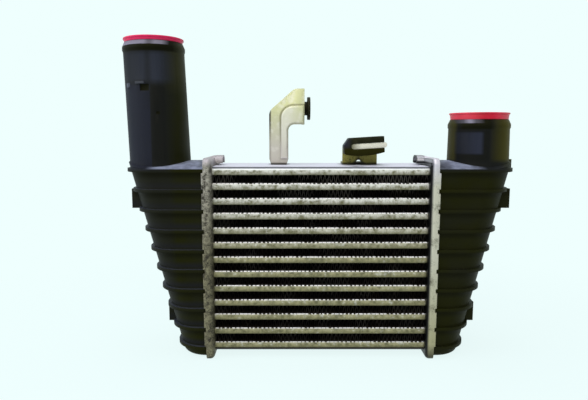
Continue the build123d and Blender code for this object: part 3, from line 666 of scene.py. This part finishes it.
def moulded_rubber(colours, name="moulded_rubber"):
    # Moulded black rubber: matt, faintly cloudy
    finish, tree, surface, place = new_finish(name)
    bloom = add_node(tree, "ShaderNodeTexNoise", {"Vector": place, "Scale": scale_of(5), "Detail": 4.0})
    tone = add_node(
        tree,
        "ShaderNodeValToRGB",
        {"Fac": bloom.outputs["Fac"]},
        stops=[(0.35, colours.rubber), (0.75, colours.rubber_bloom)],
    )
    tree.links.new(tone.outputs["Color"], surface.inputs["Base Color"])
    surface.inputs["Roughness"].default_value = 0.55
    surface.inputs["Specular IOR Level"].default_value = 0.14
    surface.inputs["Specular Tint"].default_value = colours.oil_sheen
    return finish, tree, surface, place


def sleeve_rubber(colours):
    # The same rubber with a painted olive sheen on its lower lip and a painted bluish sheen on its nose
    finish, tree, surface, place = moulded_rubber(colours, "oily_sleeve_rubber")
    axes = add_node(tree, "ShaderNodeSeparateXYZ", {0: place}).outputs
    corner = Vector(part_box("clip_rubber_sleeve")[0])
    lay_over(surface, colours.sleeve_olive_sheen, (axes["Z"], corner.z + 0.0086, corner.z + 0.0066))
    nose = (axes["X"], corner.x + 0.0082, corner.x + 0.0022)
    lay_over(surface, colours.nylon_blue_sheen, nose, (axes["Z"], corner.z + 0.0061, corner.z + 0.0101))
    return finish


def red_polyethylene(colours):
    # Soft polyethylene cap, moulded: waxy, with painted light at both sides of the right one, where it is
    # thin
    finish, tree, surface, place = new_finish("red_polyethylene")
    wax = add_node(tree, "ShaderNodeTexNoise", {"Vector": place, "Scale": scale_of(9), "Detail": 3.0})
    tone = add_node(
        tree,
        "ShaderNodeValToRGB",
        {"Fac": wax.outputs["Fac"]},
        stops=[(0.3, colours.cap_deep), (0.7, colours.cap)],
    )
    tree.links.new(tone.outputs["Color"], surface.inputs["Base Color"])
    x = add_node(tree, "ShaderNodeSeparateXYZ", {0: place}).outputs["X"]
    lay_over(surface, colours.cap_left, (x, 0.001, -0.001))
    middle = sum(corner[0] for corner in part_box("right_transit_cap")) / 2
    left_thin = (x, middle - 0.0042, middle - 0.0192, 0.0, 0.4)
    right_thin = (x, middle + 0.0038, middle + 0.0138, 0.0, 0.4)
    lay_over(surface, colours.cap_side_light, either(tree, left_thin, right_thin), (x, -0.001, 0.001))
    surface.inputs["Roughness"].default_value = 0.42
    surface.inputs["Specular IOR Level"].default_value = 0.25
    surface.inputs["Subsurface Weight"].default_value = 0.15
    surface.inputs["Subsurface Radius"].default_value = (0.004, 0.0008, 0.0008)
    return finish


def select_only(piece):
    bpy.ops.object.select_all(action="DESELECT")
    piece.select_set(True)
    bpy.context.view_layer.objects.active = piece


def pick_edges(piece, test):
    """Selects in edit mode the edges whose middle passes the test"""
    bpy.ops.object.mode_set(mode="EDIT")
    bpy.ops.mesh.select_mode(type="EDGE")
    bpy.ops.mesh.select_all(action="DESELECT")
    bpy.ops.object.mode_set(mode="OBJECT")
    points = piece.data.vertices
    for edge in piece.data.edges:
        edge.select = test((points[edge.vertices[0]].co + points[edge.vertices[1]].co) / 2)
    bpy.ops.object.mode_set(mode="EDIT")


def copy_node(node, name):
    """A CAD node's mesh as a piece of its own, triangles merged and flat areas joined"""
    piece = bpy.data.objects.new(name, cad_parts[node].data.copy())
    bpy.context.collection.objects.link(piece)
    select_only(piece)
    bpy.ops.mesh.customdata_custom_splitnormals_clear()
    bpy.ops.object.mode_set(mode="EDIT")
    bpy.ops.mesh.select_all(action="SELECT")
    bpy.ops.mesh.remove_doubles(threshold=weld_distance)
    bpy.ops.mesh.dissolve_limited(angle_limit=math.radians(flat_angle))
    bpy.ops.object.mode_set(mode="OBJECT")
    return piece


def apply_modifier(piece, kind, **settings):
    select_only(piece)
    bpy.ops.object.modifier_add(type=kind)
    modifier = piece.modifiers[-1]
    for name, value in settings.items():
        setattr(modifier, name, value)
    bpy.ops.object.modifier_apply(modifier=modifier.name)


def round_edges(piece, width, segments=2, angle=35):
    apply_modifier(
        piece,
        "BEVEL",
        width=width,
        segments=segments,
        limit_method="ANGLE",
        angle_limit=math.radians(angle),
        use_clamp_overlap=True,
        harden_normals=False,
    )


def set_finish(piece, finish):
    piece.data.materials.clear()
    piece.data.materials.append(finish)


def stand_for(piece, slot, finish, *nodes):
    """Gives a piece its finish and puts it in the place of CAD nodes"""
    select_only(piece)
    bpy.ops.object.shade_smooth_by_angle(angle=math.radians(smooth_angle))
    set_finish(piece, finish)
    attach(piece, "root")
    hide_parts(*nodes)


def wave_strip(strip, low, high, pitch):
    """Bends a folded strip in a herringbone wave along the air path, straight near the faces"""
    cuts = 9
    middle_depth = (low.y + high.y) / 2
    pick_edges(strip, lambda middle: abs(middle.y - middle_depth) < 0.0001)
    bpy.ops.mesh.subdivide(number_cuts=cuts)
    bpy.ops.object.mode_set(mode="OBJECT")
    row_depth = (high.y - low.y) / (cuts + 1)
    for row in range(3, cuts - 1):
        level = low.y + row * row_depth
        pick_edges(strip, lambda middle: abs(middle.y - level) < row_depth / 4)
        bpy.ops.transform.translate(value=(pitch * (0.5 if row % 2 else -0.5), 0, 0))
        bpy.ops.object.mode_set(mode="OBJECT")


def fold_strip(sizes, low, high):
    """A folded strip of foil between two corners, still without thickness"""
    pitch = (high.x - low.x) / sizes.fin_folds
    rise = high.z - low.z - sizes.fin_sheet
    foot = sizes.fin_foot / 2
    run = pitch / 2 - sizes.fin_foot
    bpy.ops.object.select_all(action="DESELECT")
    bpy.ops.mesh.primitive_plane_add(size=1)
    strip = bpy.context.object
    strip.scale = (foot, high.y - low.y, 1)
    strip.location = (low.x + foot / 2, (low.y + high.y) / 2, low.z + sizes.fin_sheet / 2)
    bpy.ops.object.transform_apply(location=True, rotation=False, scale=True)
    edge_x = low.x + foot
    pick_edges(strip, lambda middle: middle.x > edge_x - foot / 4)
    for step in ((run, 0, rise), (2 * foot, 0, 0), (run, 0, -rise), (foot, 0, 0)):
        bpy.ops.mesh.extrude_edges_move(TRANSFORM_OT_translate={"value": step})
    bpy.ops.object.mode_set(mode="OBJECT")
    apply_modifier(
        strip,
        "ARRAY",
        count=sizes.fin_folds,
        use_relative_offset=False,
        use_constant_offset=True,
        constant_offset_displace=(pitch, 0, 0),
        use_merge_vertices=True,
        merge_threshold=0.00002,
    )
    wave_strip(strip, low, high, pitch)
    return strip


class COOLER_OT_tanks(bpy.types.Operator):
    """Moulded end tanks with rounded rib edges"""

    bl_idname = "cooler.tanks"
    bl_label = "End tanks"

    def execute(self, context):
        settings = context.scene.cooler
        finish = moulded_nylon(settings.colours)
        for side in ("left", "right"):
            piece = copy_node(f"{side}_end_tank", f"{side}_tank_moulding")
            round_edges(piece, settings.sizes.edge)
            stand_for(piece, "tank_plastic", finish, f"{side}_end_tank")
        return {"FINISHED"}


class COOLER_OT_headers(bpy.types.Operator):
    """Pressed header trays with their crimp tabs"""

    bl_idname = "cooler.headers"
    bl_label = "Header trays"

    def execute(self, context):
        settings = context.scene.cooler
        for side, metal in (("left", left_header_metal), ("right", right_header_metal)):
            piece = copy_node(f"{side}_header_plate", f"{side}_header_pressing")
            round_edges(piece, settings.sizes.sheet_edge)
            stand_for(piece, f"{side}_header_metal", metal(settings.colours), f"{side}_header_plate")
        return {"FINISHED"}


class COOLER_OT_tubes(bpy.types.Operator):
    """Flat tubes of the core"""

    bl_idname = "cooler.tubes"
    bl_label = "Flat tubes"

    def execute(self, context):
        colours = context.scene.cooler.colours
        finish = tube_metal(colours, context.scene.cooler.sizes.fin_folds)
        for name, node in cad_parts.items():
            if name.startswith("tube_"):
                set_finish(node, finish)
        return {"FINISHED"}


class COOLER_OT_fins(bpy.types.Operator):
    """Folded fin strips between the tubes"""

    bl_idname = "cooler.fins"
    bl_label = "Folded fins"

    def execute(self, context):
        sizes = context.scene.cooler.sizes
        finish = sooty_foil(context.scene.cooler.colours)
        names = sorted(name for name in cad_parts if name.startswith("fin_"))
        low, high = (Vector(corner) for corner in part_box(names[0]))
        strip = fold_strip(sizes, low, high)
        for row, name in enumerate(names):
            select_only(strip)
            bpy.ops.object.duplicate()
            piece = context.object
            piece.name = f"folded_{name}"
            bpy.ops.object.mode_set(mode="EDIT")
            bpy.ops.mesh.select_all(action="SELECT")
            bpy.ops.transform.translate(value=(0, 0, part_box(name)[0][2] - low.z))
            bpy.ops.transform.vertex_random(offset=sizes.fin_scatter, seed=row + 1)
            bpy.ops.object.mode_set(mode="OBJECT")
            apply_modifier(piece, "SOLIDIFY", thickness=sizes.fin_sheet, offset=0)
            stand_for(piece, "fin_metal", finish, name)
        bpy.data.objects.remove(strip)
        return {"FINISHED"}


class COOLER_OT_side_plates(bpy.types.Operator):
    """Side plates above and below the core, and the gaskets in the trays"""

    bl_idname = "cooler.side_plates"
    bl_label = "Side plates and gaskets"

    def execute(self, context):
        colours = context.scene.cooler.colours
        finish = plate_metal(colours)
        for name in ("top_side_plate", "bottom_side_plate"):
            set_finish(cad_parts[name], finish)
        rubber = moulded_rubber(colours)[0]
        for name in ("left_tank_gasket", "right_tank_gasket"):
            set_finish(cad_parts[name], rubber)
        return {"FINISHED"}


class COOLER_OT_tall_bracket(bpy.types.Operator):
    """Tall pressed bracket and its grommet"""

    bl_idname = "cooler.tall_bracket"
    bl_label = "Tall bracket"

    def execute(self, context):
        settings = context.scene.cooler
        colours = settings.colours
        piece = copy_node("tall_bracket", "tall_bracket_pressing")
        round_edges(piece, settings.sizes.sheet_edge)
        stand_for(piece, "bracket_metal", bracket_metal(colours), "tall_bracket")
        grommet = copy_node("bracket_grommet", "bracket_grommet_moulding")
        round_edges(grommet, settings.sizes.edge)
        stand_for(grommet, "black_rubber", moulded_rubber(colours)[0], "bracket_grommet")
        return {"FINISHED"}


class COOLER_OT_clip(bpy.types.Operator):
    """Clip bracket and its rubber sleeve"""

    bl_idname = "cooler.clip"
    bl_label = "Clip bracket"

    def execute(self, context):
        settings = context.scene.cooler
        colours = settings.colours
        piece = copy_node("clip_bracket", "clip_bracket_pressing")
        round_edges(piece, settings.sizes.sheet_edge)
        stand_for(piece, "clip_metal", clip_metal(colours), "clip_bracket")
        sleeve = copy_node("clip_rubber_sleeve", "clip_sleeve_moulding")
        round_edges(sleeve, settings.sizes.edge)
        stand_for(sleeve, "black_rubber", sleeve_rubber(colours), "clip_rubber_sleeve")
        return {"FINISHED"}


class COOLER_OT_caps(bpy.types.Operator):
    """Red transit caps in the hose stubs"""

    bl_idname = "cooler.caps"
    bl_label = "Transit caps"

    def execute(self, context):
        settings = context.scene.cooler
        finish = red_polyethylene(settings.colours)
        for side in ("left", "right"):
            piece = copy_node(f"{side}_transit_cap", f"{side}_cap_moulding")
            round_edges(piece, settings.sizes.sheet_edge)
            stand_for(piece, "cap_plastic", finish, f"{side}_transit_cap")
        return {"FINISHED"}


def rays_that_see(tree):
    """Share of the rays that see the backdrop as it is shown, and not as a light"""
    rays = add_node(tree, "ShaderNodeLightPath").outputs
    direct = either(tree, rays["Is Camera Ray"], rays["Is Glossy Ray"])
    return either(tree, direct, rays["Is Transmission Ray"])


def floor_paint(colours):
    # Matt white board that glows as brightly as the backdrop, a little less round the cooler's foot
    paint = bpy.data.materials.new("floor_paint")
    paint.use_nodes = True
    tree = paint.node_tree
    tree.nodes.clear()
    place = add_node(tree, "ShaderNodeTexCoord").outputs["Object"]
    distance = add_node(tree, "ShaderNodeVectorMath", {0: place}, operation="LENGTH").outputs["Value"]
    share = mask(tree, rays_that_see(tree), (distance, 0.2, 0.5, 0.9, 1.0))
    matt = add_node(tree, "ShaderNodeBsdfDiffuse", {"Color": colours.backdrop})
    glow = add_node(tree, "ShaderNodeEmission", {"Color": colours.backdrop, "Strength": 1.0})
    both = add_node(tree, "ShaderNodeMixShader", {0: share, 1: matt.outputs[0], 2: glow.outputs[0]})
    add_node(tree, "ShaderNodeOutputMaterial", {"Surface": both.outputs[0]})
    return paint


def studio_world(colours):
    """White surroundings that give only a weak fill light"""
    world = bpy.data.worlds.new("studio")
    world.use_nodes = True
    tree = world.node_tree
    tree.nodes.clear()
    shown = add_node(tree, "ShaderNodeBackground", {"Color": colours.backdrop, "Strength": 1.0})
    fill = add_node(tree, "ShaderNodeBackground", {"Color": colours.fill, "Strength": 0.3})
    sides = {0: rays_that_see(tree), 1: fill.outputs[0], 2: shown.outputs[0]}
    both = add_node(tree, "ShaderNodeMixShader", sides)
    add_node(tree, "ShaderNodeOutputWorld", {"Surface": both.outputs[0]})
    return world


class COOLER_OT_stage(bpy.types.Operator):
    """Floor, backdrop, lights and camera"""

    bl_idname = "cooler.stage"
    bl_label = "Stage"

    def execute(self, context):
        scene = context.scene
        colours = scene.cooler.colours
        bpy.ops.object.select_all(action="DESELECT")
        bpy.ops.mesh.primitive_plane_add(size=floor_width)
        floor = context.object
        floor.name = "floor"
        set_finish(floor, floor_paint(colours))
        scene.world = studio_world(colours)
        for name, place, size, power, tint in lamps:
            bpy.ops.object.light_add(type="AREA", location=place)
            lamp = context.object
            lamp.name = name
            lamp.visible_camera = False
            lamp.data.size = size
            lamp.data.energy = power
            lamp.data.color = linear(tint)[:3]
            lamp.rotation_euler = (lamps_aim - Vector(place)).to_track_quat("-Z", "Y").to_euler()
        bpy.ops.object.camera_add(location=camera_place, rotation=(math.radians(90 - camera_tilt), 0, 0))
        camera = context.object
        camera.data.sensor_fit = "HORIZONTAL"
        camera.data.sensor_width = sensor_width
        camera.data.lens = sensor_width * focal_pixels / picture_width
        camera.data.clip_start = 0.01
        scene.camera = camera
        scene.view_settings.view_transform = "Standard"
        return {"FINISHED"}


class COOLER_PT_panel(bpy.types.Panel):
    """Sidebar list of the cooler's pieces"""

    bl_idname = "COOLER_PT_panel"
    bl_label = "Charge-air cooler"
    bl_space_type = "VIEW_3D"
    bl_region_type = "UI"
    bl_category = "Cooler"

    def draw(self, context):
        for step in steps:
            self.layout.operator(step.bl_idname)
        settings = context.scene.cooler
        for group in (settings.colours, settings.sizes):
            for name in group.__annotations__:
                self.layout.prop(group, name)


steps = (
    COOLER_OT_tanks,
    COOLER_OT_headers,
    COOLER_OT_tubes,
    COOLER_OT_fins,
    COOLER_OT_side_plates,
    COOLER_OT_tall_bracket,
    COOLER_OT_clip,
    COOLER_OT_caps,
    COOLER_OT_stage,
)
groups = (CoolerColours, CoolerSizes, CoolerSettings)


def register():
    for kind in groups + steps + (COOLER_PT_panel,):
        bpy.utils.register_class(kind)
    bpy.types.Scene.cooler = bpy.props.PointerProperty(type=CoolerSettings)


def unregister():
    del bpy.types.Scene.cooler
    for kind in reversed(groups + steps + (COOLER_PT_panel,)):
        bpy.utils.unregister_class(kind)


def main():
    register()
    bpy.ops.cooler.tanks()
    bpy.ops.cooler.headers()
    bpy.ops.cooler.tubes()
    bpy.ops.cooler.fins()
    bpy.ops.cooler.side_plates()
    bpy.ops.cooler.tall_bracket()
    bpy.ops.cooler.clip()
    bpy.ops.cooler.caps()
    bpy.ops.cooler.stage()


if __name__ == "__main__":
    main()
